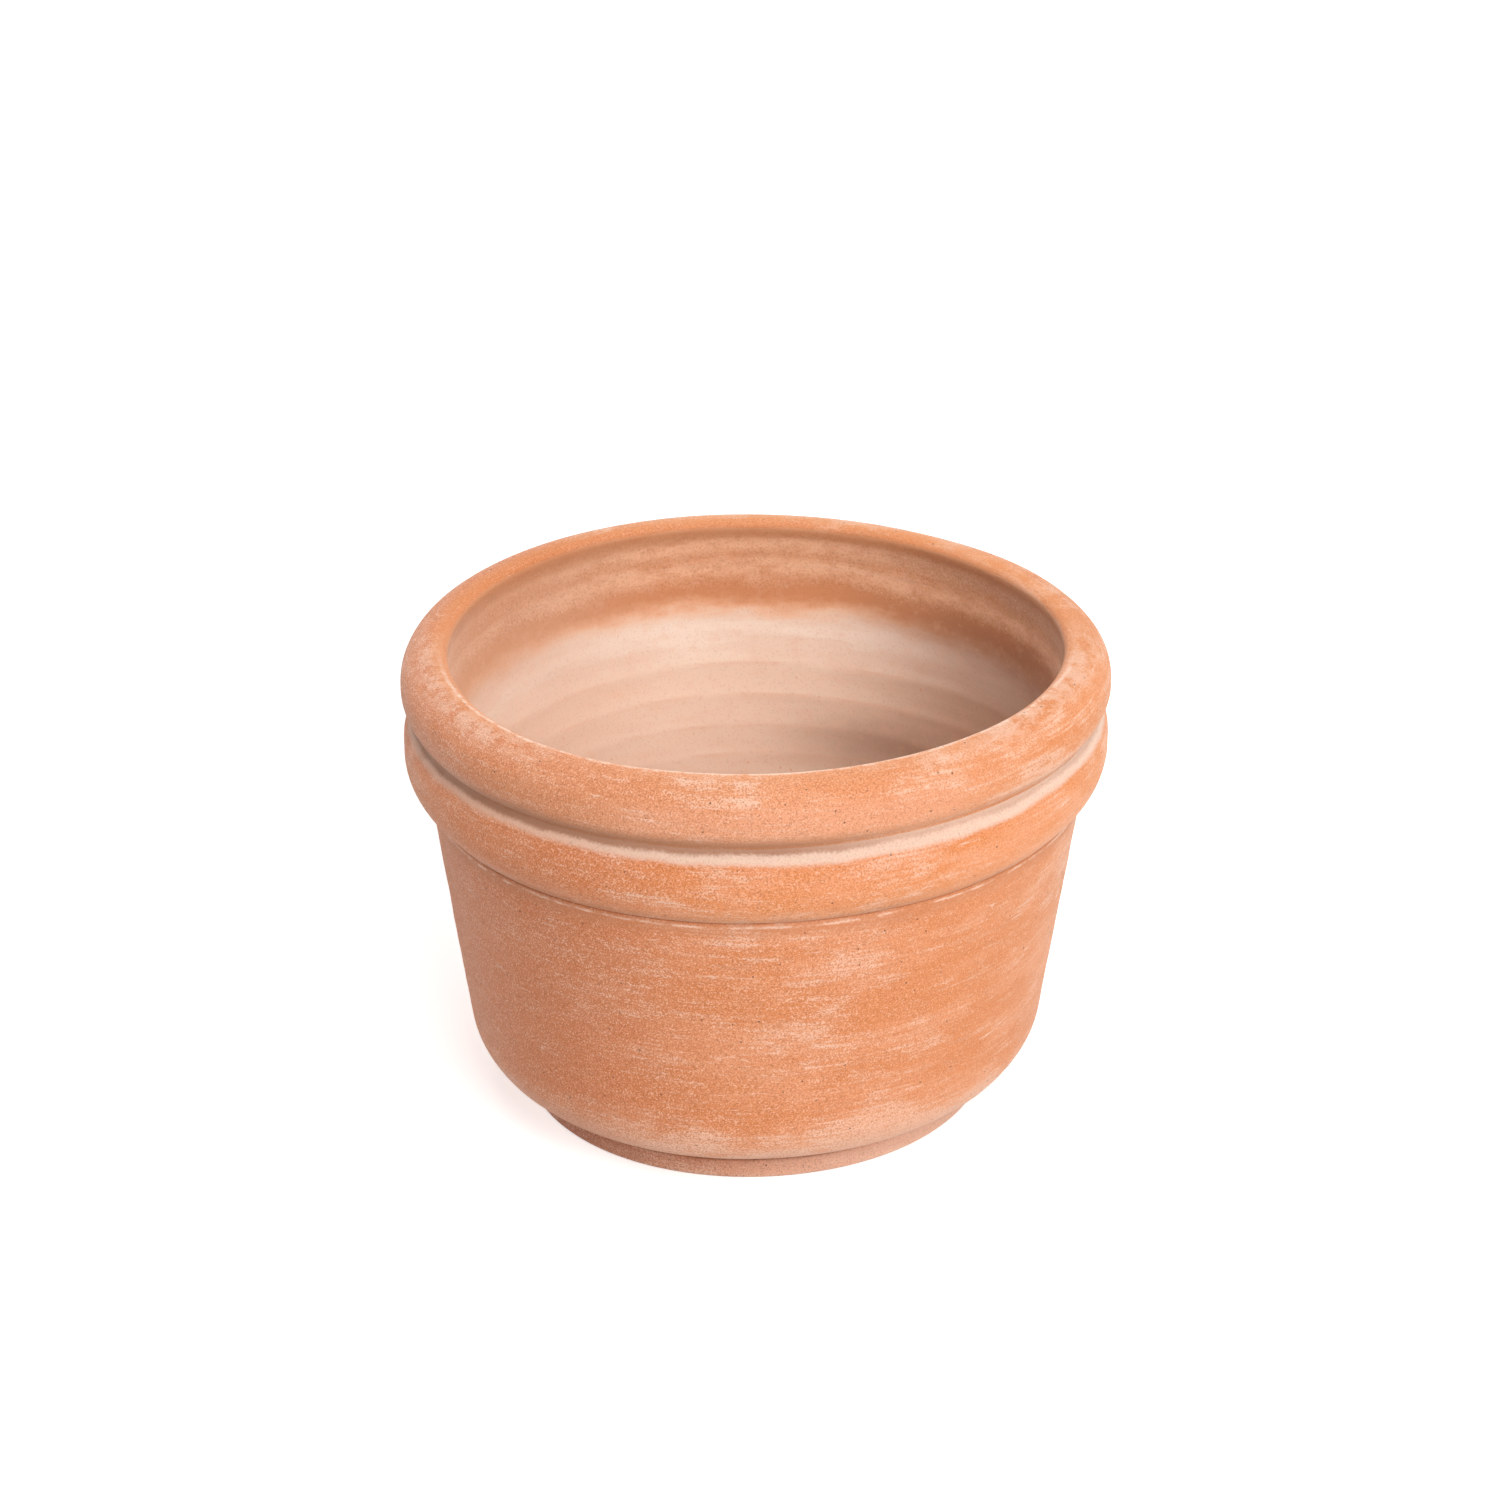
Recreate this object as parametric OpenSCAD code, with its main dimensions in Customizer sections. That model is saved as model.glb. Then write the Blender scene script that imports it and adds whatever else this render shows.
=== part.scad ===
// Round terracotta planting bowl with a double collar, standing on a turned foot ring.
// Five clay members share one axis: a foot ring, a floor slab with a drain hole, the tapered
// wall, a band lapped round the wall's neck, and a rolled rim lapped over the wall's top edge.
// Each member is an outline of [radius, height, corner radius] corners, turned about Z.
// The origin is on the axis, on the ground.

/* [Overall] */
// Height from the ground to the top of the rim
pot_h = 123; // [95:1:160]
// Outside diameter of the rolled rim
rim_d = 180; // [145:1:240]

/* [Rim] */
// Width of the rolled rim, from its outside to the mouth
rim_w = 12.5; // [10.4:0.1:15]
// Height of the rolled rim above the groove under it
rim_h = 16.7; // [13.6:0.1:21]
// Corner radius of the rim's outer crown
crown_outer = 8.5; // [6:0.1:9]
// Corner radius of the rim's inner crown
crown_inner = 3.8; // [2:0.1:4]
// Corner radius of the rim's belly, over the groove
rim_belly = 7.5; // [5:0.1:9]
// Rise of the rim's underside as it leaves the groove
rim_undercut = 3.2; // [2:0.1:4]
// How far the lip stands in from the neck behind it
lip_in = 1.2; // [0.5:0.1:2]
// Height over which the lip runs back to the neck
lip_run = 5.5; // [4:0.1:6.5]
// Corner radius of the lip's lower edge
lip_edge = 3; // [1:0.1:4]

/* [Groove] */
// Depth of the groove between rim and band, in from the rim's outside
groove_depth = 3.1; // [2:0.1:4]
// Width of the groove's floor
groove_w = 1.2; // [0.8:0.1:2]

/* [Band] */
// Height of the band, from the seam under it to the groove above it
band_h = 21.5; // [17.9:0.1:26]
// How much smaller the band is than the rim, in radius
band_inset = 0.2; // [0:0.1:1]
// Fall of the band's shoulder from the groove to its face
band_shoulder = 3; // [2:0.1:4]
// Corner radius of the band's shoulder
shoulder_round = 9.5; // [6:0.1:10]
// Rise of the band's lower slope from the seam to its face
band_slope = 7; // [5:0.1:9]
// Corner radius between the band's lower slope and its face
slope_round = 10.5; // [6:0.1:12]

/* [Wall] */
// How far the wall's neck lies in from the rim's outside, in radius
neck_inset = 6.3; // [5:0.1:7.5]
// Lean of the wall, from vertical
wall_lean = 8.2; // [5:0.1:11]
// Thickness of the wall
wall_t = 7.5; // [6:0.1:9]
// Outer radius of the bend at the heel
heel_r = 18; // [14:0.5:24]
// Slope of the heel's underside, from the ground
heel_slope = 28; // [23:1:34]
// Radius of the inner bend between floor and heel
bowl_r = 24; // [10:1:28]

/* [Floor] */
// Thickness of the floor slab
floor_t = 9.5; // [8:0.1:11.5]
// Diameter of the drain hole
drain_d = 18; // [10:0.5:30]

/* [Foot] */
// How far the wall's line at the ground stands out past the foot
foot_inset = 11.4; // [9:0.1:15]
// Height of the foot ring
foot_h = 5.5; // [4.5:0.1:7]
// Width of the foot ring, from its outside to its bore
foot_w = 16; // [13:0.5:20]
// Depth of the recess under the floor slab
foot_recess = 3; // [2:0.1:3.6]
// Width of the ledge that carries the floor slab
foot_ledge = 4; // [3:0.5:6]
// Corner radius of the foot ring's worn edges
foot_edge = 1; // [0.5:0.1:1.5]

/* [Laps] */
// Depth of the step that the band sits on, in from the wall's face
lap_t = 1.8; // [1.5:0.1:2.2]
// Height of the wall's top edge above the groove, inside the rim
lap_h = 3.7; // [3:0.1:5]
// Radius of the inner bend where the tapered wall turns up into its neck
neck_bend = 40; // [10:1:60]

/* [Hidden] */
arc_step = 6;     // degrees between points on a rounded corner
turn_fn = 180;    // facets round the axis where a mesh is drawn

// Heights, from the top down and from the ground up.
groove_z = pot_h - rim_h;              // where rim and band meet
groove_top = groove_z + groove_w / 2;
groove_bottom = groove_z - groove_w / 2;
seam_z = groove_z - band_h;            // where the band meets the wall's face
lap_z = groove_z + lap_h;              // the wall's top edge, inside the rim
lip_z = lap_z + lip_run;               // where the lip is at its full width
floor_top = foot_recess + floor_t;

// Radii, from the outside in.
rim_r = rim_d / 2;
mouth_r = rim_r - rim_w;
groove_r = rim_r - groove_depth;
band_r = rim_r - band_inset;
neck_r = rim_r - neck_inset;           // the wall's face at the seam
lap_r = neck_r - lap_t;                // the upright face behind the band and inside the rim
neck_bore = mouth_r + lip_in;          // the neck's inner face at its top edge

// Radius of the wall's outer and inner faces at a height.
wall_skew = tan(wall_lean);
function wall_outer(z) = neck_r + (z - seam_z) * wall_skew;
function wall_inner(z) = wall_outer(z) - wall_t / cos(wall_lean);

foot_r = wall_outer(0) - foot_inset;
foot_bore = foot_r - foot_w;
floor_r = foot_bore + foot_ledge;
heel_start = foot_r - foot_edge;       // where the heel leaves the foot

// Height of the heel's underside at a radius, and of the face a wall's thickness above it.
heel_rise = tan(heel_slope);
function heel_outer(r) = foot_h + (r - heel_start) * heel_rise;
function heel_inner(r) = heel_outer(r) + wall_t / cos(heel_slope);

// Where the wall's two faces meet the heel's two faces, as sharp corners, and where
// the heel's inner face meets the floor.
heel_corner_r = (wall_outer(0) + heel_outer(0) * wall_skew) / (1 - heel_rise * wall_skew);
bowl_corner_r = (wall_inner(0) + heel_inner(0) * wall_skew) / (1 - heel_rise * wall_skew);
floor_corner_r = (floor_top - heel_inner(0)) / heel_rise;

// The points of an outline, with each [radius, height, corner radius] corner rounded to an arc.
function unit(v) = v / norm(v);
function place(corner) = [corner[0], corner[1]];
function sweep_between(first, last) = (last - first + 540) % 360 - 180;
function rounded_corner(before, corner, after, r) =
    let (
        u = unit(before - corner),
        v = unit(after - corner),
        half = acos(u * v) / 2,
        centre = corner + unit(u + v) * r / sin(half),
        from = corner + u * r / tan(half) - centre,
        to = corner + v * r / tan(half) - centre,
        start = atan2(from.y, from.x),
        sweep = sweep_between(start, atan2(to.y, to.x)),
        steps = max(2, ceil(abs(sweep) / arc_step))
    )
    [for (i = [0:steps]) centre + r * [cos(start + sweep * i / steps), sin(start + sweep * i / steps)]];
function outline(corners) =
    let (n = len(corners))
    [for (i = [0:n - 1])
        each corners[i][2] == 0
            ? [place(corners[i])]
            : rounded_corner(
                place(corners[(i + n - 1) % n]),
                place(corners[i]),
                place(corners[(i + 1) % n]),
                corners[i][2]
            )
    ];

module turned(corners) {
    rotate_extrude($fn = turn_fn) polygon(outline(corners));
}

// Rolled rim: seats on the wall's top edge, laps down outside it and meets the band at the groove.
module rim_roll() {
    color([0.84, 0.50, 0.32]) turned([
        [neck_bore, lap_z, 0],
        [lap_r, lap_z, 0],
        [lap_r, groove_z, 0],
        [groove_r, groove_z, 0],
        [groove_r, groove_top, 0],
        [rim_r, groove_top + rim_undercut, rim_belly],
        [rim_r, pot_h, crown_outer],
        [mouth_r, pot_h, crown_inner],
        [mouth_r, lip_z, lip_edge],
    ]);
}

// Band: a collar that drops over the wall's neck and rests on the step at its foot.
module collar_band() {
    color([0.82, 0.48, 0.30]) turned([
        [lap_r, seam_z, 0],
        [neck_r, seam_z, 0],
        [band_r, seam_z + band_slope, slope_round],
        [band_r, groove_bottom - band_shoulder, shoulder_round],
        [groove_r, groove_bottom, 0],
        [groove_r, groove_z, 0],
        [lap_r, groove_z, 0],
    ]);
}

// Wall: stands on the foot ring round the edge of the floor slab, and ends in an upright neck.
module bowl_wall() {
    color([0.80, 0.46, 0.29]) turned([
        [floor_r, foot_h, 0],
        [heel_start, foot_h, 0],
        [heel_corner_r, heel_outer(heel_corner_r), heel_r],
        [neck_r, seam_z, 0],
        [lap_r, seam_z, 0],
        [lap_r, lap_z, 0],
        [neck_bore, lap_z, 0],
        [wall_inner(seam_z), seam_z, neck_bend],
        [bowl_corner_r, heel_inner(bowl_corner_r), heel_r - wall_t],
        [floor_corner_r, floor_top, bowl_r],
        [floor_r, floor_top, 0],
    ]);
}

// Floor slab: a disc with a drain hole, seated in the foot ring's rebate.
module floor_slab() {
    color([0.78, 0.55, 0.42]) turned([
        [drain_d / 2, foot_recess, 0],
        [floor_r, foot_recess, 0],
        [floor_r, floor_top, 0],
        [drain_d / 2, floor_top, 0],
    ]);
}

// Foot ring: carries the wall on its top face and the floor slab on its inner ledge.
module foot_ring() {
    color([0.76, 0.44, 0.31]) turned([
        [foot_bore, 0, foot_edge],
        [foot_r, 0, foot_edge],
        [foot_r, foot_h, foot_edge],
        [floor_r, foot_h, 0],
        [floor_r, foot_recess, 0],
        [foot_bore, foot_recess, 0],
    ]);
}

rim_roll();
collar_band();
bowl_wall();
floor_slab();
foot_ring();
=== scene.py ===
import math

import bmesh
import bpy
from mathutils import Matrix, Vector, noise


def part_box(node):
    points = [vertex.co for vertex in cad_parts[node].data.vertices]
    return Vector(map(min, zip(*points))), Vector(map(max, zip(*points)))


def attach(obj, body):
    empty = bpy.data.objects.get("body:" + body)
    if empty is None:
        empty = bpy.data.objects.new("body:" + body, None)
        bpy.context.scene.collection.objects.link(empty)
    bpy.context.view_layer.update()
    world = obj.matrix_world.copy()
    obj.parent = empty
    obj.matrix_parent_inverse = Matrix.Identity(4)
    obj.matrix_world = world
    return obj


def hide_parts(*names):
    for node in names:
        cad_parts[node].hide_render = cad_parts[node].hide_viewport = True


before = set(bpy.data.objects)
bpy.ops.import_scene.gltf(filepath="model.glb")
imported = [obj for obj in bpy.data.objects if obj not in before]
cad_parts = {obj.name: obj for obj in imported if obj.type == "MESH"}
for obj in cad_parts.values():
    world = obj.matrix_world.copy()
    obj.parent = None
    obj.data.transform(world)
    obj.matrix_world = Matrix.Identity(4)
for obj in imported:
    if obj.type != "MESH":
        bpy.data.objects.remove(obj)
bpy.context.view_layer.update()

# The bowl wall is the pot's thrown body: one wall of red clay that leans out from a tight heel to an
# upright neck. It's pulled up by hand on the wheel, so shallow finger channels wind round its inside,
# which stays smooth and pale with slip. Outside it's brushed round while it dries, and blooms pale.
MM = 0.001
POT_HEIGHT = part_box("rim_roll")[1].z / MM
SEAM_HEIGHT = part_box("collar_band")[0].z / MM
FOOT_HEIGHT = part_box("foot_ring")[1].z / MM
FLOOR_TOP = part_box("floor_slab")[1].z / MM
FLOOR_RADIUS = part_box("floor_slab")[1].x / MM
LAP_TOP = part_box("bowl_wall")[1].z / MM
LAP_RADIUS = 81.9
NECK_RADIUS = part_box("bowl_wall")[1].x / MM
NECK_BORE = 78.7
WALL_BORE = 76.1
HEEL_START = 59.1
STEPS_A_QUARTER = 100
CREASE = math.radians(50)

FOOT_OVAL = 1.05
FOOT_LEAN = 0.16
SWAY = 0.18
RIM_TILT = 0.6
RIM_TWIST = 0.7


def turned_outline(clay, corners, spacing):
    """Draws a piece's section: corners of (radius, height, cut_back), each rounded where it's cut back."""
    points = [clay.verts.new((radius * MM, 0, height * MM)) for radius, height, _ in corners]
    clay.faces.new(points)
    for point, (_, _, cut_back) in zip(points, corners):
        if cut_back:
            bmesh.ops.bevel(
                clay,
                geom=[point],
                offset=cut_back * MM,
                offset_type="ABSOLUTE",
                affect="VERTICES",
                segments=max(3, round(1.4 * cut_back / spacing)),
                profile=0.5,
                material=-1,
            )
    bmesh.ops.delete(clay, geom=clay.faces[:], context="FACES_ONLY")
    for edge in clay.edges[:]:
        cuts = round(edge.calc_length() / MM / spacing) - 1
        if cuts > 0:
            bmesh.ops.subdivide_edges(clay, edges=[edge], cuts=cuts)


def settled(place):
    """Where a point of the true turned form, in millimetres, ended up as the soft clay dried."""
    up = place.z / POT_HEIGHT
    angle = math.atan2(place.y, place.x)
    sway = SWAY * noise.noise(Vector((math.cos(angle), math.sin(angle), place.z / 60)) * 1.3)
    true_radius = math.hypot(place.x, place.y)
    oval = FOOT_OVAL * (1 - up) * math.sin(2 * angle)
    radius = true_radius + (oval + sway) * min(1.0, true_radius / HEEL_START) ** 2
    lean = FOOT_LEAN * (1 - up)
    tilt = up * (RIM_TILT * math.cos(angle) - RIM_TWIST * math.sin(2 * angle))
    return Vector((radius * math.cos(angle) + lean, radius * math.sin(angle), place.z + tilt))


def throw_piece(name, corners, spacing, work_skin, inside=lambda place, normal: False):
    """Spins a section round the wheel's axis, works its skin, and lets it settle."""
    clay = bmesh.new()
    turned_outline(clay, corners, spacing)
    axle = {"cent": (0, 0, 0), "axis": (0, 0, 1)}
    section = clay.verts[:] + clay.edges[:]
    bmesh.ops.spin(clay, geom=section, angle=math.tau / 4, steps=STEPS_A_QUARTER, **axle)
    quarter = clay.verts[:] + clay.edges[:] + clay.faces[:]
    bmesh.ops.spin(clay, geom=quarter, angle=math.tau * 3 / 4, steps=3, use_duplicate=True, **axle)
    bmesh.ops.remove_doubles(clay, verts=clay.verts[:], dist=0.01 * MM)
    bmesh.ops.recalc_face_normals(clay, faces=clay.faces[:])
    clay.normal_update()
    for edge in clay.edges:
        edge.smooth = edge.calc_face_angle(0) < CREASE
    for face in clay.faces:
        face.smooth = True
        face.material_index = int(inside(face.calc_center_median() / MM, face.normal))
    turned_place = [axis for vert in clay.verts for axis in vert.co]
    for vert in clay.verts:
        place = vert.co / MM
        vert.co = settled(place + vert.normal * work_skin(place, vert.normal)) * MM
    mesh = bpy.data.meshes.new(name)
    clay.to_mesh(mesh)
    clay.free()
    mesh.attributes.new("turned_place", "FLOAT_VECTOR", "POINT").data.foreach_set("vector", turned_place)
    piece = bpy.data.objects.new(name, mesh)
    bpy.context.scene.collection.objects.link(piece)
    return piece


def ease(value, low, high):
    """Rises smoothly from 0 at low to 1 at high; low may be the larger."""
    share = min(1.0, max(0.0, (value - low) / (high - low)))
    return share * share * (3 - 2 * share)


def round_the_pot(place, laps, layer_height, seed=0.0):
    """Soft noise in layers, with so many lumps round the pot, from about -0.5 to 0.5."""
    around = Vector((place.x, place.y, 0)).normalized() * laps
    return noise.noise(Vector((around.x, around.y, place.z / layer_height + seed)))


def rib_marks(place):
    """The faint rings and swells that a rib leaves outside, in millimetres."""
    return 0.05 * round_the_pot(place, 1.5, 2.6) + 0.12 * round_the_pot(place, 2.0, 9.0, 7.0)


def crest(turns):
    """The soft ridge that a finger leaves once a turn, from 0 to 1."""
    return (1 - abs(math.sin(math.pi * turns))) ** 1.5


CHANNEL_PITCH = 9.3
CREST_AT_BACK = 82.2


def finger_crest(place):
    """The crests left between the channels that the fingers wind up the inside, from 0 to 1."""
    angle = math.atan2(place.y, place.x)
    climb = place.z - CREST_AT_BACK + CHANNEL_PITCH * (angle - math.pi / 2) / math.tau
    turns = climb / (CHANNEL_PITCH + 0.03 * climb) + 0.12 * round_the_pot(place, 1.2, 20.0)
    return crest(turns) * ease(place.z, 15, 24) * ease(place.z, 94, 86)


def is_inside(place, normal):
    faces_axis = normal.x * place.x + normal.y * place.y < -0.05
    return faces_axis or (normal.z > 0.3 and place.z < 30)


def wall_skin(place, normal):
    """Finger channels inside and rib marks outside, both dying out where the wall meets its neighbours."""
    off_foot = ease(place.z, FOOT_HEIGHT, FOOT_HEIGHT + 1.5)
    if is_inside(place, normal):
        channels = 0.38 * finger_crest(place) + 0.06 * round_the_pot(place, 3.0, 2.2)
        return channels * off_foot * ease(place.z, LAP_TOP, LAP_TOP - 2)
    return rib_marks(place) * off_foot * ease(place.z, SEAM_HEIGHT, SEAM_HEIGHT - 1.5)


wall_corners = [
    (FLOOR_RADIUS, FOOT_HEIGHT, 0),
    (HEEL_START, FOOT_HEIGHT, 0.3),
    (73.4, 13.1, 8.3),
    (NECK_RADIUS, SEAM_HEIGHT, 0.5),
    (LAP_RADIUS, SEAM_HEIGHT, 0),
    (LAP_RADIUS, LAP_TOP, 0),
    (NECK_BORE, LAP_TOP, 0),
    (NECK_BORE, 103.5, 4.0),
    (WALL_BORE, SEAM_HEIGHT, 2.4),
    (66.5, 17.9, 13.0),
    (56.3, FLOOR_TOP, 5.5),
    (FLOOR_RADIUS, FLOOR_TOP, 0),
]
bowl_wall = throw_piece("bowl_wall_clay", wall_corners, 1.0, wall_skin, is_inside)
crest_marks = bowl_wall.data.attributes.new("finger_crest", "FLOAT", "POINT").data
for mark, vert in zip(crest_marks, bowl_wall.data.vertices):
    mark.value = finger_crest(vert.co / MM)


def add_node(tree, kind, inputs=None, **settings):
    """Adds one shader node. Each input is a number, a colour or another node's output."""
    added = tree.nodes.new("ShaderNode" + kind)
    for setting, value in settings.items():
        setattr(added, setting, value)
    for socket, value in (inputs or {}).items():
        if isinstance(value, bpy.types.NodeSocket):
            tree.links.new(value, added.inputs[socket])
        else:
            added.inputs[socket].default_value = value
    return added


class ClaySkin:
    """A terracotta material as it's built up: its colour and relief so far, and the node tree."""

    def __init__(self, name, colour):
        self.material = bpy.data.materials.new(name)
        self.material.use_nodes = True
        self.tree = self.material.node_tree
        self.place = self.node("TexCoord").outputs["Object"]
        sides = self.node("SeparateXYZ", {0: self.place}).outputs
        self.rightward = sides["X"]
        self.backward = sides["Y"]
        turned = self.node("Attribute", attribute_name="turned_place").outputs["Vector"]
        self.height = self.node("SeparateXYZ", {0: turned}).outputs["Z"]
        across = self.node("VectorMath", {0: turned, 1: (1, 1, 0)}, operation="MULTIPLY").outputs[0]
        self.radius = self.node("VectorMath", {0: across}, operation="LENGTH").outputs["Value"]
        self.colour = (*colour, 1)
        self.relief = 0.0

    def node(self, kind, inputs=None, **settings):
        return add_node(self.tree, kind, inputs, **settings)

    def maths(self, operation, *values):
        return self.node("Math", dict(enumerate(values)), operation=operation).outputs[0]

    def rise(self, value, low, high):
        """Rises smoothly from 0 at low to 1 at high; low may be the larger, to fall instead."""
        ends = {"Value": value, "From Min": low, "From Max": high}
        return self.node("MapRange", ends, interpolation_type="SMOOTHSTEP").outputs["Result"]

    def ramp(self, length, low, high):
        """Rises smoothly from 0 to 1 between two heights, radii or distances, in millimetres."""
        return self.rise(length, low * MM, high * MM)

    def share(self, mask, *others):
        """Where every one of the masks says."""
        for other in others:
            mask = self.maths("MULTIPLY", mask, other)
        return mask

    def less(self, mask, loss):
        """1 where the mask is 0, and less by the loss where it's 1."""
        return self.maths("MULTIPLY_ADD", mask, -loss, 1.0)

    def moved(self, seed, flat):
        stretch = {"Vector": self.place, "Location": (seed, -seed, 2 * seed), "Scale": (1, 1, flat)}
        return self.node("Mapping", stretch).outputs[0]

    def cloud(self, size, flat=1.0, detail=2.0, rough=0.5, seed=0.0):
        """Noise in lumps of so many millimetres, flattened so many times into streaks round the pot."""
        lumps = {"Vector": self.moved(seed, flat), "Scale": 1 / (size * MM)}
        lumps.update({"Detail": detail, "Roughness": rough})
        return self.node("TexNoise", lumps).outputs["Fac"]

    def dots(self, apart, radius, seed=0.0):
        """Round spots of up to that radius, in a cell for each so many millimetres."""
        cells = {"Vector": self.moved(seed, 1.0), "Scale": 1 / (apart * MM)}
        distance = self.node("TexVoronoi", cells).outputs["Distance"]
        return self.rise(distance, radius / apart, 0.5 * radius / apart)

    def hairlines(self, size, flat, seed):
        """Thin broken scratches round the pot, where so flattened a noise crosses its middle."""
        crossing = self.maths("SUBTRACT", self.cloud(size, flat=flat, detail=0, seed=seed), 0.5)
        line = self.rise(self.maths("ABSOLUTE", crossing), 0.022, 0.004)
        return self.share(line, self.rise(self.cloud(size / 3, flat=3, detail=4, seed=seed), 0.54, 0.64))

    def wander(self, size, reach, flat=1.0):
        """Moves an edge up and down by up to about so many millimetres, in lumps of that size."""
        lumps = self.cloud(size, flat, detail=3, rough=0.6)
        return self.maths("MULTIPLY_ADD", lumps, 5 * reach * MM, -2.5 * reach * MM)

    def between(self, length, low, high, soft, *wanders):
        """1 between two heights, radii or distances, and soft and uneven at its edges."""
        for wander in wanders:
            length = self.maths("ADD", length, wander)
        above = self.ramp(length, low - soft, low + soft)
        below = self.ramp(length, high + soft, high - soft)
        return self.share(above, below)

    def tint(self, mask, colour, amount=1.0):
        """Lays a colour over the clay where the mask says."""
        inputs = {0: self.share(mask, amount), 6: self.colour, 7: (*colour, 1)}
        self.colour = self.node("Mix", inputs, data_type="RGBA").outputs[2]

    def raise_by(self, mask, depth):
        """Raises the skin by so many millimetres where the mask says."""
        self.relief = self.maths("MULTIPLY_ADD", mask, depth * MM, self.relief)

    def fire(self):
        """Joins the colour, roughness and relief to the shader, and gives the material."""
        shader = self.tree.nodes["Principled BSDF"]
        roughness = self.rise(self.cloud(5, detail=4), -0.7, 1.0)
        bump = self.node("Bump", {"Height": self.relief, "Distance": 1.0}).outputs[0]
        self.tree.links.new(self.colour, shader.inputs["Base Color"])
        self.tree.links.new(roughness, shader.inputs["Roughness"])
        self.tree.links.new(bump, shader.inputs["Normal"])
        shader.inputs["Diffuse Roughness"].default_value = 0.6
        shader.inputs["Specular IOR Level"].default_value = 0.35
        shader.inputs["Sheen Weight"].default_value = 0.26
        shader.inputs["Sheen Roughness"].default_value = 0.35
        shader.inputs["Sheen Tint"].default_value = (1.0, 0.92, 0.86, 1)
        return self.material


BRICK_CRUMB = (0.36, 0.115, 0.045)
PINHOLE = (0.20, 0.060, 0.028)
BRIGHT_SAND = (0.96, 0.54, 0.33)
PALE_BLOOM = (0.91, 0.64, 0.49)
DUST_AND_PAINTED_SHADE = (0.42, 0.18, 0.09)


def turned_clay(name, deep, warm):
    """Terracotta's own colour outside, as it comes off the wheel: warm and deep by turns, with painted shade
    darkening its left side.
    """
    skin = ClaySkin(name, deep)
    skin.tint(skin.rise(skin.cloud(30, flat=2.6, detail=4), 0.42, 0.60), warm)
    skin.brushing = skin.cloud(17, flat=26, detail=5, rough=0.62, seed=0.11)
    skin.tint(skin.rise(skin.brushing, 0.50, 0.36), deep, 0.6)
    # Painted shade: darker and redder towards the left, the side away from the right soft box, partly the
    # clay's own colour.
    red, green, blue = deep
    skin.tint(skin.ramp(skin.rightward, 4, -54), (0.84 * red, 0.70 * green, 0.72 * blue), 0.75)
    return skin


def brush_and_dry(skin, bloom_from=0.50, bloom_weight=0.17, dusting=0.0):
    """Brushes sandy clay round the pot as it dries: speckle, pale bloom, scratches and pinholes."""
    brushing = skin.brushing
    patches = skin.cloud(11, flat=2.8, detail=5, rough=0.68, seed=0.37)
    drifts = skin.maths("MULTIPLY_ADD", skin.cloud(44, flat=2.2, seed=0.53), 0.6, skin.share(patches, 0.7))
    drifts = skin.maths("MULTIPLY_ADD", brushing, 0.3, drifts)
    drifts = skin.maths("ADD", drifts, dusting)
    rubbed = skin.less(skin.ramp(skin.rightward, 0, 65), 0.45)
    # Less pale bloom towards the left: partly the clay's own colour, partly painted shade on the side away
    # from the right soft box.
    kept = skin.less(skin.ramp(skin.rightward, -12, -55), 0.75)
    bloom = skin.share(skin.rise(drifts, 1.6 * bloom_from - 0.04, 1.6 * bloom_from + 0.20), kept)
    strokes = skin.share(skin.rise(brushing, 0.53, 0.66), skin.rise(patches, 0.44, 0.60), kept)
    skin.grain = skin.cloud(0.42, detail=2, rough=0.65)
    sand = skin.maths("MULTIPLY_ADD", bloom, 0.08 + 0.3 * bloom_weight, skin.grain)
    sand = skin.maths("MULTIPLY_ADD", brushing, 0.4, sand)
    scratches = skin.hairlines(26, 44, 0.83)
    pinholes = skin.dots(4.4, 0.32)
    skin.tint(bloom, PALE_BLOOM, bloom_weight)
    skin.tint(strokes, PALE_BLOOM, 0.9 * bloom_weight)
    skin.tint(skin.share(skin.rise(skin.grain, 0.50, 0.64), rubbed), BRIGHT_SAND, 0.52)
    skin.tint(skin.share(skin.rise(sand, 0.78, 0.91), rubbed), PALE_BLOOM, 0.64)
    skin.tint(skin.share(skin.rise(skin.grain, 0.47, 0.33), rubbed), BRICK_CRUMB, 0.50)
    skin.tint(scratches, PALE_BLOOM, 0.7)
    skin.tint(pinholes, PINHOLE, 0.85)
    skin.raise_by(skin.grain, 0.13)
    skin.raise_by(brushing, 0.14)
    skin.raise_by(scratches, 0.04)
    skin.raise_by(pinholes, -0.22)


SLIP_CREAM = (0.88, 0.68, 0.54)
SLIP_PALE = (0.95, 0.80, 0.68)
SLIP_THIN = (0.85, 0.60, 0.46)
SLIP_BLOTCH = (0.85, 0.56, 0.41)
SLIP_MOTTLE = (0.86, 0.52, 0.36)
SLIP_PINK = (0.92, 0.555, 0.345)
SLIP_STAIN = (0.70, 0.305, 0.140)
TAN_PAINTED_SHADE = (0.70, 0.44, 0.31)
RUSTY_PAINTED_SHADE = (0.66, 0.33, 0.19)
BROWN_PAINTED_SHADE = (0.52, 0.29, 0.19)
DEEP_PAINTED_SHADOW = (0.38, 0.21, 0.135)
RUST_AND_PAINTED_SHADE = (0.38, 0.14, 0.065)
BRICK_PAINTED_SHADE = (0.46, 0.20, 0.11)
TIDE_LOW = 99.4
TIDE_HIGH = 106.2
OVER_THE_TOP = 130


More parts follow.
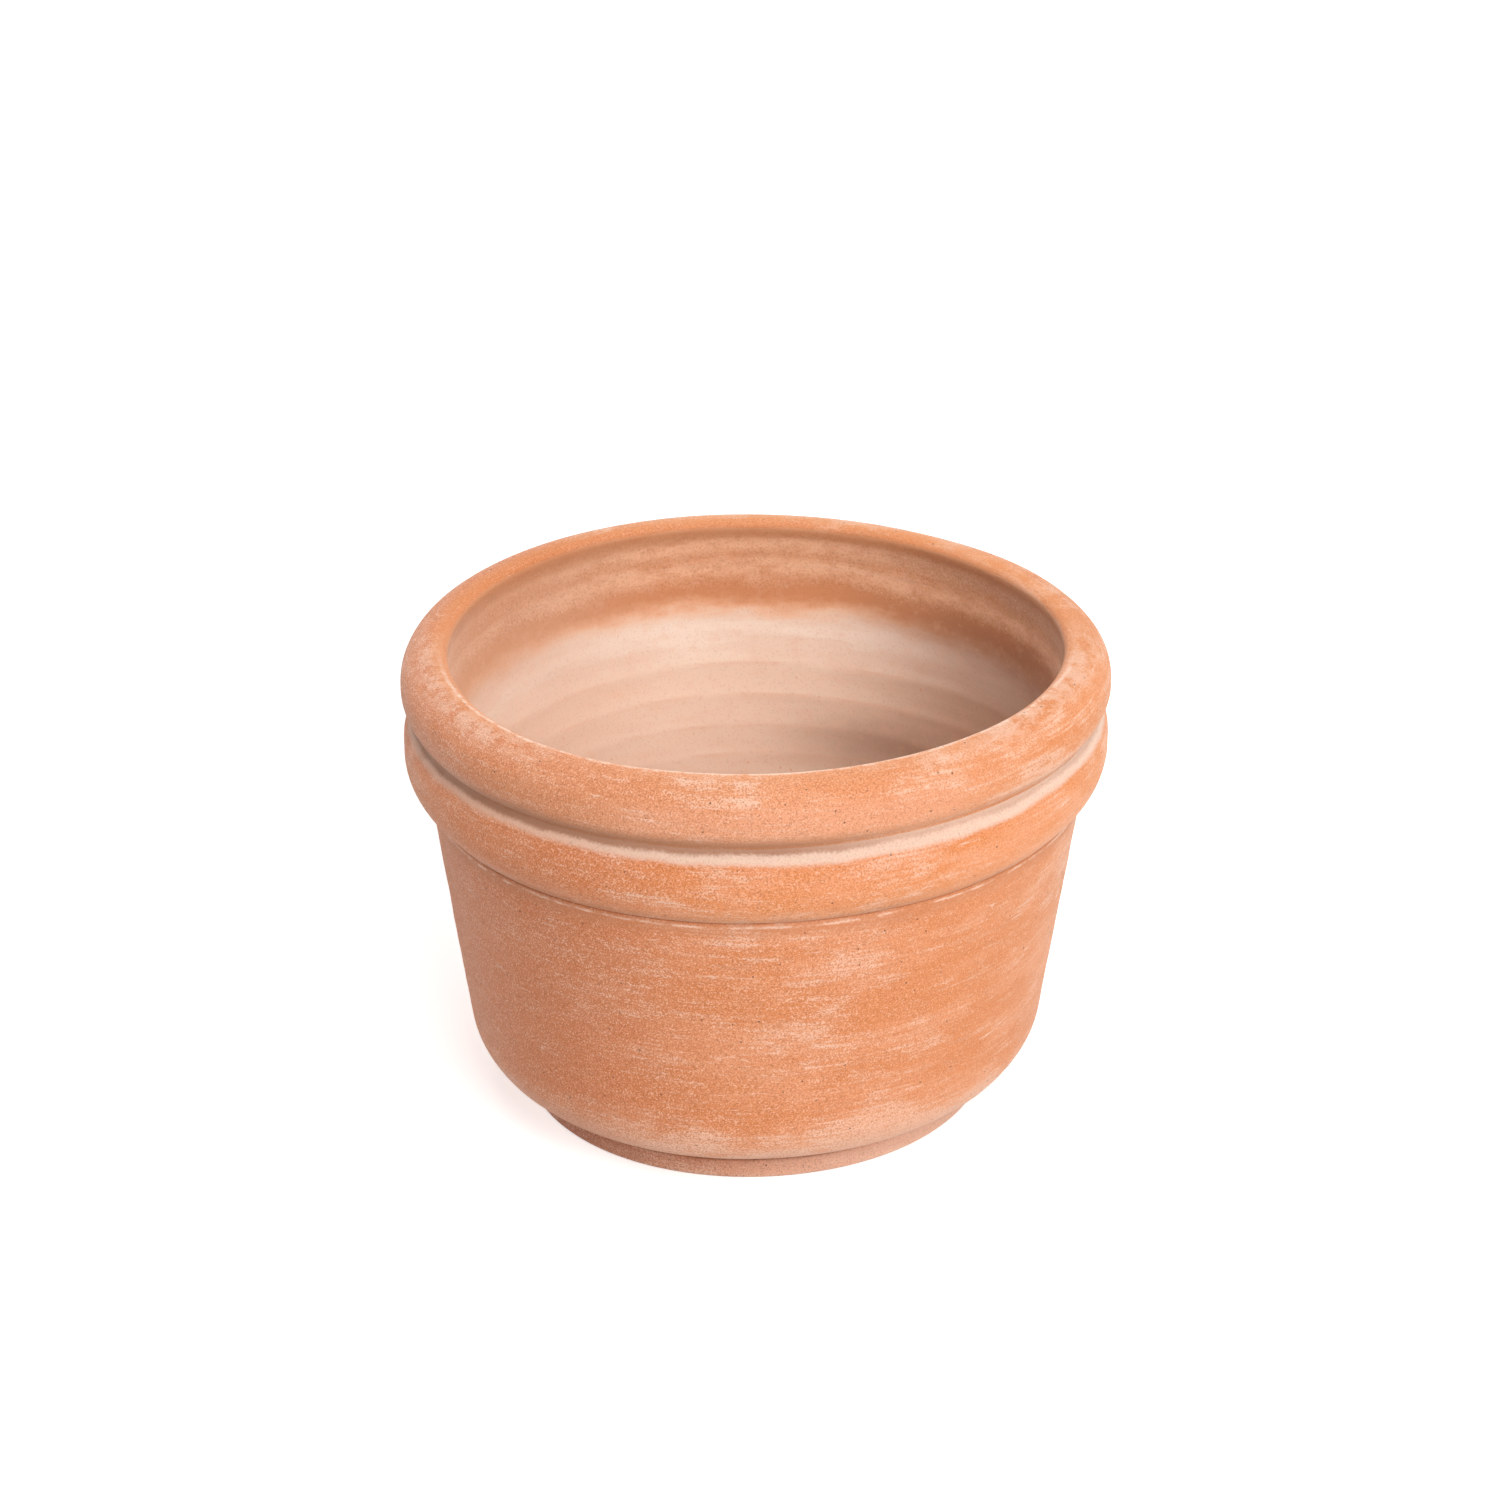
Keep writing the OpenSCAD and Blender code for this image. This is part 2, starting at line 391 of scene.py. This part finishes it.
def wipe_with_slip(skin, where=1.0):
    """Lays the inside's slip over the clay: cream below, a rusty tide line, and blotchy pink above it; then
    painted shade on the left, on the right, under the lip and low on the back right.
    """
    wiping = skin.cloud(34, flat=7, detail=3, rough=0.5, seed=0.23)
    blotches = skin.cloud(9, flat=2.4, detail=5, rough=0.60, seed=0.67)
    mottle = skin.cloud(3.5, flat=1.3, detail=4, rough=0.6, seed=0.19)
    grain = skin.cloud(0.6, detail=2, rough=0.6)
    edge = skin.wander(18, 1.5, flat=3.0)
    above = skin.between(skin.height, 104, OVER_THE_TOP, 1.5, edge)
    far_left = skin.ramp(skin.rightward, -45, -73)
    painted_shade_right = skin.ramp(skin.rightward, 15, 60)
    painted_shadow_corner = skin.share(skin.ramp(skin.rightward, -6, 36), skin.ramp(skin.backward, 22, 62))

    def band(low, high, soft, *wanders):
        return skin.between(skin.height, low, high, soft, *wanders)

    def lay(mask, colour, amount):
        skin.tint(skin.share(mask, where), colour, amount)

    lay(1.0, SLIP_CREAM, 1.0)
    lay(band(84, 99, 6, skin.wander(20, 2)), SLIP_PALE, 1.0)
    lay(skin.rise(wiping, 0.56, 0.36), SLIP_THIN, 0.38)
    lay(skin.rise(blotches, 0.52, 0.74), SLIP_BLOTCH, 0.27)
    lay(band(TIDE_LOW - 2.6, OVER_THE_TOP, 3.4, edge, skin.wander(4, 0.7)), SLIP_PINK, 1.0)
    lay(band(TIDE_LOW, TIDE_HIGH, 2.6, edge, skin.wander(4, 0.6)), SLIP_STAIN, 0.95)
    lay(skin.share(above, skin.rise(blotches, 0.48, 0.64)), SLIP_STAIN, 0.45)
    lay(skin.share(above, skin.rise(mottle, 0.48, 0.64)), SLIP_STAIN, 0.34)
    # Painted shade: a dark band under the rim's inner roll, in the stain's colour.
    lay(band(110.9, 114.2, 1.6, edge), SLIP_STAIN, 0.50)
    # Painted shade: the inside darker towards the left, and more so high on the far left, away from the
    # right soft box.
    lay(skin.ramp(skin.rightward, -20, -62), TAN_PAINTED_SHADE, 0.45)
    lay(skin.share(far_left, band(92, OVER_THE_TOP, 5, edge)), RUSTY_PAINTED_SHADE, 0.45)
    # Painted shade on the right side, away from the right soft box: the tide line darker there, partly its
    # own rust stain, and the wall below it and under the lip darkened.
    lay(skin.share(painted_shade_right, band(94, 105, 4.5, edge)), RUST_AND_PAINTED_SHADE, 0.66)
    lay(skin.share(painted_shade_right, band(55, 101, 12)), BROWN_PAINTED_SHADE, 0.50)
    lay(skin.share(painted_shade_right, band(112.5, OVER_THE_TOP, 3, edge)), BRICK_PAINTED_SHADE, 0.55)
    # Painted shadow: the near right rim's shadow, cast low on the back right of the inside.
    lay(skin.share(painted_shadow_corner, band(54, 68, 7, edge)), DEEP_PAINTED_SHADOW, 0.60)
    lay(skin.rise(mottle, 0.50, 0.70), SLIP_MOTTLE, 0.20)
    lay(skin.rise(grain, 0.46, 0.30), BRICK_CRUMB, 0.15)
    lay(skin.share(above, skin.rise(grain, 0.47, 0.33)), BRICK_CRUMB, 0.16)
    lay(skin.share(above, skin.rise(grain, 0.53, 0.67)), PALE_BLOOM, 0.32)
    lay(skin.dots(6.0, 0.45, 0.31), SLIP_STAIN, 0.5)
    skin.raise_by(grain, 0.04)
    skin.raise_by(wiping, 0.08)


WALL_DEEP = (0.735, 0.268, 0.100)
WALL_WARM = (0.785, 0.322, 0.150)
HEEL_DUST = (0.86, 0.46, 0.29)
SEAM_PAINTED_SHADE = (0.60, 0.24, 0.11)
CREST_PAINTED_SHADE = (0.80, 0.48, 0.33)

outer_clay = turned_clay("wall_clay_outside", WALL_DEEP, WALL_WARM)
heel = outer_clay.between(outer_clay.height, -5, 20, 6.0, outer_clay.wander(22, 3.0))
outer_clay.tint(heel, HEEL_DUST, 0.40)
brush_and_dry(outer_clay, 0.51, 0.21, outer_clay.share(heel, 0.24))
# Painted shade on the wall just under the collar band's overhang.
seam_painted_shade = outer_clay.between(outer_clay.height, 81.0, 90, 2.0, outer_clay.wander(12, 1.0))
outer_clay.tint(seam_painted_shade, SEAM_PAINTED_SHADE, 0.45)
hair_path = (outer_clay.wander(1.0, 0.2), outer_clay.wander(24, 0.3))
seam_hair = outer_clay.share(
    outer_clay.between(outer_clay.height, 83.35, 83.95, 0.22, *hair_path),
    outer_clay.rise(outer_clay.cloud(7, detail=5, rough=0.7), 0.40, 0.60),
)
outer_clay.tint(seam_hair, PALE_BLOOM, 0.8)
# Painted shade in the crease where the heel meets the foot ring.
heel_notch = outer_clay.between(outer_clay.height, -5, 6.1, 0.5, outer_clay.wander(5, 0.2))
outer_clay.tint(heel_notch, DUST_AND_PAINTED_SHADE, 0.75)
bowl_wall.data.materials.append(outer_clay.fire())

inner_clay = ClaySkin("wall_clay_inside", SLIP_PINK)
wipe_with_slip(inner_clay)
crest_height = inner_clay.node("Attribute", attribute_name="finger_crest").outputs["Fac"]
# Painted shade along the finger crests, standing in for the dark lines that the channels' shading makes.
crest_painted_shade = inner_clay.share(
    inner_clay.rise(crest_height, 0.55, 1.0),
    inner_clay.rise(inner_clay.cloud(22, flat=3, detail=3), 0.40, 0.60),
)
inner_clay.tint(crest_painted_shade, CREST_PAINTED_SHADE, 0.45)
bowl_wall.data.materials.append(inner_clay.fire())
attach(bowl_wall, "root")
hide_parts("bowl_wall")

# The floor slab is the flat disc of clay that closes the bottom, seated in the foot ring. A drain
# hole is cut through it while it's soft, and the fingers leave a shallow spiral on top, under the
# slip. Its underside and the drain hole stay bare clay.
DRAIN_RADIUS = 9.0
SLAB_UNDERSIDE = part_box("floor_slab")[0].z / MM
SPIRAL_PITCH = 7.0
BARE_CLAY = (0.73, 0.36, 0.22)
BARE_CLAY_WARM = (0.79, 0.42, 0.27)


def floor_skin(place, normal):
    """A shallow spiral where the fingers pressed the clay outwards, flat at the joints."""
    radius = math.hypot(place.x, place.y)
    turns = radius / SPIRAL_PITCH + math.atan2(place.y, place.x) / math.tau
    clear_of_wall = ease(radius, FLOOR_RADIUS, FLOOR_RADIUS - 3)
    clear_of_drain = ease(radius, DRAIN_RADIUS + 0.5, DRAIN_RADIUS + 4)
    on_top = 1 if normal.z > 0.5 else 0
    return (0.25 * crest(turns) - 0.1) * clear_of_wall * clear_of_drain * on_top


floor_corners = [
    (DRAIN_RADIUS, SLAB_UNDERSIDE, 0.8),
    (FLOOR_RADIUS, SLAB_UNDERSIDE, 0),
    (FLOOR_RADIUS, FLOOR_TOP, 0),
    (DRAIN_RADIUS, FLOOR_TOP, 0.8),
]
floor_slab = throw_piece("floor_slab_clay", floor_corners, 1.0, floor_skin)
floor_clay = turned_clay("floor_clay", BARE_CLAY, BARE_CLAY_WARM)
brush_and_dry(floor_clay)
wipe_with_slip(floor_clay, floor_clay.ramp(floor_clay.height, 10.8, 12.0))
floor_slab.data.materials.append(floor_clay.fire())
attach(floor_slab, "root")
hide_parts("floor_slab")

# The foot ring is a coil of the same clay, pressed on under the heel and turned true. It holds the
# drain hole off the ground, and a ledge inside it carries the floor slab. Its face is dry and dusty.
FOOT_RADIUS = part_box("foot_ring")[1].x / MM
FOOT_BORE = 44.1
FOOT_BLUSH = (0.91, 0.62, 0.48)


def foot_skin(place, normal):
    """Small swells round the outer edge, where the ring was pressed on and trimmed."""
    outer = ease(math.hypot(place.x, place.y), FOOT_RADIUS - 3, FOOT_RADIUS - 1)
    clear = ease(place.z, 0.2, 1.2) * ease(place.z, 5.4, 4.4)
    return 0.22 * round_the_pot(place, 3.5, 5.0, 4.0) * outer * clear


foot_corners = [
    (FOOT_BORE, 0, 1),
    (FOOT_RADIUS, 0, 1),
    (FOOT_RADIUS, FOOT_HEIGHT, 1),
    (FLOOR_RADIUS, FOOT_HEIGHT, 0),
    (FLOOR_RADIUS, SLAB_UNDERSIDE, 0),
    (FOOT_BORE, SLAB_UNDERSIDE, 0),
]
foot_ring = throw_piece("foot_ring_clay", foot_corners, 0.8, foot_skin)
foot_clay = turned_clay("foot_clay", BARE_CLAY, BARE_CLAY_WARM)
foot_clay.tint(foot_clay.ramp(foot_clay.rightward, -25, 30), FOOT_BLUSH, 0.65)
brush_and_dry(foot_clay, 0.48)
# Painted shade in the crease on the foot ring's top edge, under the heel.
foot_notch = foot_clay.between(foot_clay.height, 5.1, 9, 0.35, foot_clay.wander(4, 0.15))
foot_clay.tint(foot_notch, DUST_AND_PAINTED_SHADE, 0.7)
foot_ring.data.materials.append(foot_clay.fire())
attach(foot_ring, "root")
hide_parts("foot_ring")

# The collar band is a coil of clay laid round the neck, resting on the wall's step, and turned to a
# soft round belly. The groove over it, under the rim, catches pale dust that the brush can't reach.
BAND_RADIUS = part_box("collar_band")[1].x / MM
GROOVE_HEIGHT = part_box("rim_roll")[0].z / MM
GROOVE_RADIUS = 86.9
BAND_DEEP = (0.79, 0.290, 0.100)
BAND_WARM = (0.83, 0.345, 0.160)
GROOVE_DUST = (0.82, 0.50, 0.35)
GROOVE_PAINTED_LIGHT = (0.89, 0.68, 0.55)
GROOVE_CRUMB = (0.60, 0.34, 0.23)


def band_skin(place, normal):
    """Rib marks round the belly, flat where the band sits on the neck, the step and the rim."""
    outer = ease(math.hypot(place.x, place.y), LAP_RADIUS, NECK_RADIUS)
    clear = ease(place.z, SEAM_HEIGHT, SEAM_HEIGHT + 1.5) * ease(place.z, GROOVE_HEIGHT, GROOVE_HEIGHT - 1.5)
    return 1.2 * rib_marks(place) * outer * clear


def shaded(skin):
    """How much of the painted shade under the rim is left, round to the brighter right side."""
    return skin.less(skin.ramp(skin.rightward, 0, 45), 0.60)


band_corners = [
    (LAP_RADIUS, SEAM_HEIGHT, 0),
    (NECK_RADIUS, SEAM_HEIGHT, 0.6),
    (BAND_RADIUS, SEAM_HEIGHT + 7.0, 3.9),
    (BAND_RADIUS, GROOVE_HEIGHT - 3.6, 3.4),
    (GROOVE_RADIUS, GROOVE_HEIGHT - 0.6, 0.3),
    (GROOVE_RADIUS, GROOVE_HEIGHT, 0),
    (LAP_RADIUS, GROOVE_HEIGHT, 0),
]
collar_band = throw_piece("collar_band_clay", band_corners, 0.7, band_skin)
band_clay = turned_clay("band_clay", BAND_DEEP, BAND_WARM)
brush_and_dry(band_clay, 0.505, 0.30)
# Painted shade along the band's lower edge, where it turns down over the seam.
low_edge = band_clay.between(band_clay.height, 80, 86.6, 1.6, band_clay.wander(9, 0.8))
band_clay.tint(low_edge, DUST_AND_PAINTED_SHADE, 0.45)
groove_edge = (band_clay.wander(0.7, 0.22), band_clay.wander(11, 0.30))
broader_right = band_clay.share(
    band_clay.ramp(band_clay.rightward, -60, 50),
    1.0 * MM,
    band_clay.ramp(band_clay.rightward, 82, 50),
)
groove_dust = band_clay.between(band_clay.height, 103.5, 110, 0.85, *groove_edge, broader_right)
band_clay.tint(groove_dust, GROOVE_DUST, 0.95)
# Painted light: the dusty strip in the groove made paler from the middle round to the right, where the right
# soft box reaches.
groove_painted_light = band_clay.share(groove_dust, band_clay.ramp(band_clay.rightward, -75, -10))
band_clay.tint(groove_painted_light, GROOVE_PAINTED_LIGHT, 0.85)
groove_crumbs = band_clay.share(groove_dust, band_clay.rise(band_clay.grain, 0.50, 0.34))
band_clay.tint(groove_crumbs, GROOVE_CRUMB, 0.40)
# Partly grey-brown dust, partly painted shade: the groove under the rim roll darkened, less so round to the
# right.
groove_shade = band_clay.between(band_clay.height, 104.95, 110, 0.5, *groove_edge)
band_clay.tint(band_clay.share(groove_shade, shaded(band_clay)), DUST_AND_PAINTED_SHADE, 0.80)
collar_band.data.materials.append(band_clay.fire())
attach(collar_band, "root")
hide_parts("collar_band")

# The rim roll is the thick lip of the pot: the neck's top folded out, rounded over and wiped. It's
# seated on the neck's top edge and lapped down outside it. Handling rubs its inner edge pale, with a
# painted highlight on the near side, and the slip reaches up under it; painted shade lies under the lip and
# the roll.
RIM_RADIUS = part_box("rim_roll")[1].x / MM
MOUTH_RADIUS = 77.5
RIM_DEEP = (0.745, 0.282, 0.108)
RIM_WARM = (0.79, 0.345, 0.168)
FRONT_CLAY = (0.82, 0.37, 0.185)
BACK_CLAY = (0.88, 0.43, 0.23)
BELLY_BLUSH = (0.86, 0.43, 0.27)
RIGHT_CLAY = (0.74, 0.26, 0.085)
LIP_ORANGE = (0.86, 0.36, 0.14)
LIP_RED_AND_PAINTED_SHADE = (0.66, 0.25, 0.10)
UNDER_LIP_PAINTED_SHADE = (0.55, 0.215, 0.085)
WORN_PALE_AND_PAINTED_HIGHLIGHT = (0.95, 0.72, 0.58)


def rim_skin(place, normal):
    """Rib marks and slow swells, flat where the roll sits on the wall and the band."""
    outside = math.hypot(place.x, place.y) > 82
    joint = GROOVE_HEIGHT if outside else LAP_TOP
    swells = 0.16 * round_the_pot(place, 2.4, 12.0, 5.0)
    return (1.2 * rib_marks(place) + swells) * ease(place.z, joint + 0.3, joint + 3)


rim_corners = [
    (NECK_BORE, LAP_TOP, 0),
    (LAP_RADIUS, LAP_TOP, 0),
    (LAP_RADIUS, GROOVE_HEIGHT, 0),
    (GROOVE_RADIUS, GROOVE_HEIGHT, 0),
    (GROOVE_RADIUS, GROOVE_HEIGHT + 0.6, 0.4),
    (RIM_RADIUS, GROOVE_HEIGHT + 3.8, 3.0),
    (RIM_RADIUS, POT_HEIGHT, 8.5),
    (MOUTH_RADIUS - 0.5, POT_HEIGHT, 4.0),
    (NECK_BORE, 117.2, 1.8),
]
rim_roll = throw_piece("rim_roll_clay", rim_corners, 0.6, rim_skin)
rim_clay = turned_clay("rim_clay", RIM_DEEP, RIM_WARM)
rightward, backward = rim_clay.rightward, rim_clay.backward
height, radius = rim_clay.height, rim_clay.radius
rim_clay.tint(rim_clay.ramp(backward, -45, -80), FRONT_CLAY, 0.45)
rim_clay.tint(rim_clay.ramp(backward, 50, 80), BACK_CLAY, 0.45)
front_belly = rim_clay.share(
    rim_clay.between(height, 108.5, 117.5, 2.0, rim_clay.wander(14, 1.0)),
    rim_clay.between(rightward, -35, 52, 12),
)
rim_clay.tint(front_belly, BELLY_BLUSH, 0.42)
rim_clay.tint(rim_clay.ramp(rightward, 50, 78), RIGHT_CLAY, 0.60)
dusty_top = rim_clay.share(
    rim_clay.between(radius, 79.5, 86.5, 2.5),
    rim_clay.ramp(height, 110, 118),
    rim_clay.ramp(rim_clay.maths("ABSOLUTE", rightward), 46, 62),
    rim_clay.ramp(backward, 20, -20),
    rim_clay.rise(rim_clay.cloud(5, flat=2, detail=5, rough=0.7), 0.38, 0.58),
)
rim_clay.tint(dusty_top, PALE_BLOOM, 0.55)
brush_and_dry(rim_clay, 0.50, 0.36)
# Partly grey-brown dust, partly painted shade: the roll's underside darkened over the groove, less so round
# to the right.
underside = rim_clay.share(
    rim_clay.ramp(height, GROOVE_HEIGHT + 5.5, GROOVE_HEIGHT + 0.6),
    rim_clay.ramp(radius, 81, 83),
    shaded(rim_clay),
)
rim_clay.tint(underside, DUST_AND_PAINTED_SHADE, 0.76)
slipped_lip = rim_clay.share(
    rim_clay.between(height, 110, 120.8, 0.8, rim_clay.wander(14, 0.3)),
    rim_clay.between(radius, 60, 79.6, 0.5),
)
wipe_with_slip(rim_clay, slipped_lip)
far_lip = rim_clay.share(
    rim_clay.maths("MAXIMUM", rim_clay.ramp(backward, 0, 50), rim_clay.ramp(rightward, -40, -70)),
    rim_clay.between(radius, 70, 82.0, 1.8, rim_clay.wander(16, 0.5)),
)
rim_clay.tint(rim_clay.share(far_lip, rim_clay.ramp(height, 119, 121.5)), LIP_ORANGE, 0.42)
# Deeper red on the left of the far lip: partly the clay's own colour, partly painted shade away from the
# right soft box.
rim_clay.tint(rim_clay.share(far_lip, rim_clay.ramp(rightward, -30, -65)), LIP_RED_AND_PAINTED_SHADE, 0.20)
# Painted shade: a dark line under the inner lip, wider on the left.
deeper_left = rim_clay.share(rim_clay.ramp(rightward, 0, -50), 1.6 * MM)
under_lip_painted_shade = rim_clay.share(
    rim_clay.between(height, 117.8, OVER_THE_TOP, 1.1, rim_clay.wander(14, 0.3), deeper_left),
    rim_clay.ramp(radius, 79.5, 77.8),
    rim_clay.ramp(height, 122.2, 120.3),
)
rim_clay.tint(under_lip_painted_shade, UNDER_LIP_PAINTED_SHADE, 0.70)
# A pale line on the near inner lip edge: partly rubbed by handling, partly painted highlight.
worn_lip_and_painted_highlight = rim_clay.share(
    rim_clay.between(radius, 79.8, 80.9, 0.35, rim_clay.wander(0.9, 0.25), rim_clay.wander(18, 0.4)),
    rim_clay.ramp(height, 119, 121),
    rim_clay.ramp(backward, 5, -40),
    rim_clay.rise(rim_clay.cloud(2.4, detail=4, rough=0.7), 0.36, 0.60),
)
rim_clay.tint(worn_lip_and_painted_highlight, WORN_PALE_AND_PAINTED_HIGHLIGHT, 0.75)
rim_roll.data.materials.append(rim_clay.fire())
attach(rim_roll, "root")
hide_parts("rim_roll")

# The studio has a plain pale floor and white air, a large soft box high on the camera's right,
# another overhead, and two low ones behind. The floor glows a little, so that it stays white right
# out to the horizon, but not under the foot, where it would shine up through the drain hole.
floor_sheet = bmesh.new()
bmesh.ops.create_grid(floor_sheet, x_segments=1, y_segments=1, size=6.0)
floor_mesh = bpy.data.meshes.new("studio_floor")
floor_sheet.to_mesh(floor_mesh)
floor_sheet.free()
studio_floor = bpy.data.objects.new("studio_floor", floor_mesh)
bpy.context.scene.collection.objects.link(studio_floor)
floor_paint = bpy.data.materials.new("studio_floor_white")
floor_paint.use_nodes = True
paint_tree = floor_paint.node_tree
floor_shader = paint_tree.nodes["Principled BSDF"]
floor_shader.inputs["Base Color"].default_value = (0.80, 0.80, 0.80, 1)
floor_shader.inputs["Roughness"].default_value = 0.9
floor_shader.inputs["Specular IOR Level"].default_value = 0.0
floor_shader.inputs["Emission Color"].default_value = (1, 1, 1, 1)
seen_directly = add_node(paint_tree, "LightPath").outputs["Is Camera Ray"]
floor_place = add_node(paint_tree, "TexCoord").outputs["Object"]
reach = add_node(paint_tree, "VectorMath", {0: floor_place}, operation="LENGTH").outputs["Value"]
far_ends = {"Value": reach, "From Min": 0.5, "From Max": 2.0, "To Min": 0.60, "To Max": 1.0}
far_glow = add_node(paint_tree, "MapRange", far_ends).outputs["Result"]
glow_ends = {"Value": seen_directly, "To Min": 0.10, "To Max": far_glow}
floor_glow = add_node(paint_tree, "MapRange", glow_ends).outputs["Result"]
foot_edge = FOOT_RADIUS * MM
foot_ends = {"Value": reach, "From Min": 0.80 * foot_edge, "From Max": 0.95 * foot_edge}
clear_of_foot = add_node(paint_tree, "MapRange", foot_ends).outputs["Result"]
open_glow = add_node(paint_tree, "Math", {0: floor_glow, 1: clear_of_foot}, operation="MULTIPLY")
paint_tree.links.new(open_glow.outputs[0], floor_shader.inputs["Emission Strength"])
studio_floor.data.materials.append(floor_paint)

world = bpy.data.worlds.new("studio_air")
world.use_nodes = True
world.node_tree.nodes["Background"].inputs["Color"].default_value = (1, 1, 1, 1)
world.node_tree.nodes["Background"].inputs["Strength"].default_value = 1.0
world.cycles_visibility.diffuse = False
bpy.context.scene.world = world


def soft_box(name, azimuth, elevation, distance, size, brightness):
    """A square soft light aimed at the pot, of so many times the brightness of white paper."""
    lamp = bpy.data.lights.new(name, "AREA")
    lamp.shape = "SQUARE"
    lamp.size = size
    lamp.energy = math.pi * size * size * brightness
    box = bpy.data.objects.new(name, lamp)
    bpy.context.scene.collection.objects.link(box)
    turn = math.radians(azimuth)
    across = distance * math.cos(math.radians(elevation))
    up = distance * math.sin(math.radians(elevation))
    aim = Vector((0, 0, 0.06))
    from_aim = Vector((across * math.cos(turn), across * math.sin(turn), up))
    box.location = aim + from_aim
    box.rotation_euler = (-from_aim).to_track_quat("-Z", "Y").to_euler()


soft_box("right_soft_box", -66, 36, 1.8, 1.1, 7.3)
soft_box("top_soft_box", 0, 90, 2.0, 1.5, 2.45)
soft_box("back_left_soft_box", 144, 10, 2.5, 1.0, 12.0)
soft_box("back_right_soft_box", 48, 10, 2.5, 1.0, 3.5)

# The camera has a long lens. It stands about a metre in front of the pot and half a metre up, and
# looks down on it, into the mouth.
camera_data = bpy.data.cameras.new("bench_camera")
camera_data.lens = 100
camera_data.sensor_width = 36
bench_camera = bpy.data.objects.new("bench_camera", camera_data)
bench_camera.location = (0, -0.975, 0.550)
bench_camera.rotation_euler = (math.radians(64.73), 0, 0)
bpy.context.scene.collection.objects.link(bench_camera)
bpy.context.scene.camera = bench_camera
bpy.context.scene.view_settings.view_transform = "Standard"
